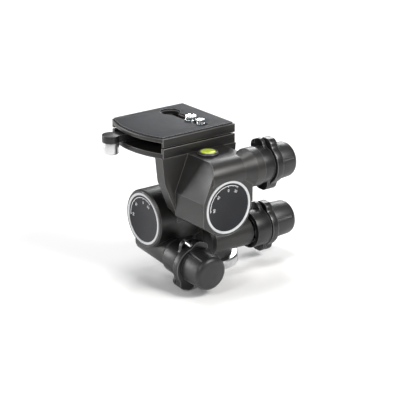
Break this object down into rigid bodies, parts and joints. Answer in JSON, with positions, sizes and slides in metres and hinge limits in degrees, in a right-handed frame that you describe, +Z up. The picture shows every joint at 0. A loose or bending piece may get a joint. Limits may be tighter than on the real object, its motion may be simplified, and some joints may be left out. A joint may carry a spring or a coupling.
{
  "type": "geared tripod head",
  "caption": "Three-way geared tripod head: worm-driven pan, tilt and roll with release wings, sprung clamp lever, bubble level and a camera plate with sliding screws.",
  "frame": {"origin": "centre of the base disc's underside, on the pan axis", "axes": "+Z up along the pan axis; +X the way the pan knob points; -Y the way the tilt knob points"},
  "size_m": [0.1635, 0.114, 0.1335],
  "materials": {
    "bright_aluminium": "fine turned, slightly satin",
    "black_coat": "satin powder coat with fine texture",
    "black_plastic": "matte moulded",
    "grip_rubber": "matte",
    "steel": "turned",
    "bronze": "machined",
    "dial_face": "printed scale under a clear coat",
    "level_fluid": "clear and glossy",
    "pad_rubber": "fine grained",
    "spring_steel": "drawn wire"
  },
  "bodies": {
    "base": {"base_disc": "bright_aluminium", "pan_thrust_washer": "black_plastic", "pan_spindle": "steel", "pan_wheel": "bronze"},
    "pan": {"pan_housing": "black_coat", "pan_cover": "black_coat", "pan_boss_cap": "black_plastic", "tilt_shaft": "steel", "tilt_wheel": "bronze", "tilt_nut": "steel", "tilt_dial": "dial_face", "pan_finger_rest": "black_coat", "pan_stop_pin": "steel", "pan_wing_spring": "spring_steel"},
    "tilt": {"tilt_housing": "black_coat", "tilt_bushes": "bronze", "roll_shaft": "steel", "roll_wheel": "bronze", "roll_nut": "steel", "roll_dial": "dial_face", "tilt_finger_rest": "black_coat", "tilt_stop_pin": "steel", "tilt_wing_spring": "spring_steel"},
    "head": {"roll_housing": "black_coat", "roll_bushes": "bronze", "level_cup": "black_coat", "level_vial": "level_fluid", "receiver_tray": "black_coat", "roll_finger_rest": "black_coat", "roll_stop_pin": "steel", "roll_wing_spring": "spring_steel", "lever_pin": "steel"},
    "pan_release": {"pan_sleeve": "steel", "pan_wing": "black_coat", "pan_worm_bushes": "bronze"},
    "pan_drive": {"pan_worm": "steel", "pan_knob": "grip_rubber"},
    "tilt_release": {"tilt_sleeve": "steel", "tilt_wing": "black_coat", "tilt_worm_bushes": "bronze"},
    "tilt_drive": {"tilt_worm": "steel", "tilt_knob": "grip_rubber"},
    "roll_release": {"roll_sleeve": "steel", "roll_wing": "black_coat", "roll_worm_bushes": "bronze"},
    "roll_drive": {"roll_worm": "steel", "roll_knob": "grip_rubber"},
    "lever": {"clamp_lever": "black_plastic"},
    "plunger": {"safety_plunger": "steel"},
    "plate": {"camera_plate": "black_coat", "plate_pad": "pad_rubber"},
    "large_screw": {"large_screw": "steel"},
    "small_screw": {"small_screw": "steel"}
  },
  "joints": [
    {"name": "pan_turn", "type": "hinge", "parent": "base", "child": "pan", "pos_m": [0, 0, 0.03], "axis": [0, 0, 1], "continuous": true},
    {"name": "tilt_turn", "type": "hinge", "parent": "pan", "child": "tilt", "pos_m": [-0.04, 0, 0.051], "axis": [1, 0, 0], "range_deg": [-90, 30]},
    {"name": "roll_turn", "type": "hinge", "parent": "tilt", "child": "head", "pos_m": [-0.03, -0.05, 0.0755], "axis": [0, 1, 0], "range_deg": [-90, 30]},
    {"name": "pan_release_turn", "type": "hinge", "parent": "pan", "child": "pan_release", "pos_m": [0, -0.0243, 0.0284], "axis": [1, 0, 0], "range_deg": [0, 52], "stiffness_Nm_per_rad": 0.3, "springref_deg": -34.38},
    {"name": "pan_knob_turn", "type": "hinge", "parent": "pan_release", "child": "pan_drive", "pos_m": [0, -0.0232, 0.0303], "axis": [1, 0, 0], "continuous": true},
    {"name": "tilt_release_turn", "type": "hinge", "parent": "tilt", "child": "tilt_release", "pos_m": [-0.04591, 0.00254, 0.02683], "axis": [0, -0.9945, -0.1045], "range_deg": [-52, 0], "stiffness_Nm_per_rad": 0.3, "springref_deg": 34.38},
    {"name": "tilt_knob_turn", "type": "hinge", "parent": "tilt_release", "child": "tilt_drive", "pos_m": [-0.044, 0.00243, 0.02793], "axis": [0, -0.9945, -0.1045], "range_deg": [-1440, 4320]},
    {"name": "roll_release_turn", "type": "hinge", "parent": "head", "child": "roll_release", "pos_m": [-0.03, -0.0615, 0.0998], "axis": [1, 0, 0], "range_deg": [0, 52], "stiffness_Nm_per_rad": 0.3, "springref_deg": -34.38},
    {"name": "roll_knob_turn", "type": "hinge", "parent": "roll_release", "child": "roll_drive", "pos_m": [-0.03, -0.0596, 0.0987], "axis": [1, 0, 0], "range_deg": [-4320, 1440]},
    {"name": "lever_swing", "type": "hinge", "parent": "head", "child": "lever", "pos_m": [-0.006, 0, 0.119], "axis": [0, 0, 1], "range_deg": [0, 30]},
    {"name": "plunger_pull", "type": "slide", "parent": "lever", "child": "plunger", "axis": [0, 0, -1], "range_m": [0, 0.003], "stiffness_N_per_m": 400, "springref_m": -0.003},
    {"name": "plate_lift", "type": "slide", "parent": "head", "child": "plate", "axis": [0, 0, 1], "range_m": [0, 0.03]},
    {"name": "large_screw_turn", "type": "hinge", "parent": "plate", "child": "large_screw", "pos_m": [-0.0185, -0.0082, 0.125], "axis": [0, 0, 1], "continuous": true},
    {"name": "small_screw_turn", "type": "hinge", "parent": "plate", "child": "small_screw", "pos_m": [-0.0185, -0.0214, 0.125], "axis": [0, 0, 1], "continuous": true}
  ],
  "couplings": [
    {"joint": "pan_knob_turn", "follows": "pan_turn", "ratio": 48},
    {"joint": "tilt_knob_turn", "follows": "tilt_turn", "ratio": -48},
    {"joint": "roll_knob_turn", "follows": "roll_turn", "ratio": 48}
  ]
}
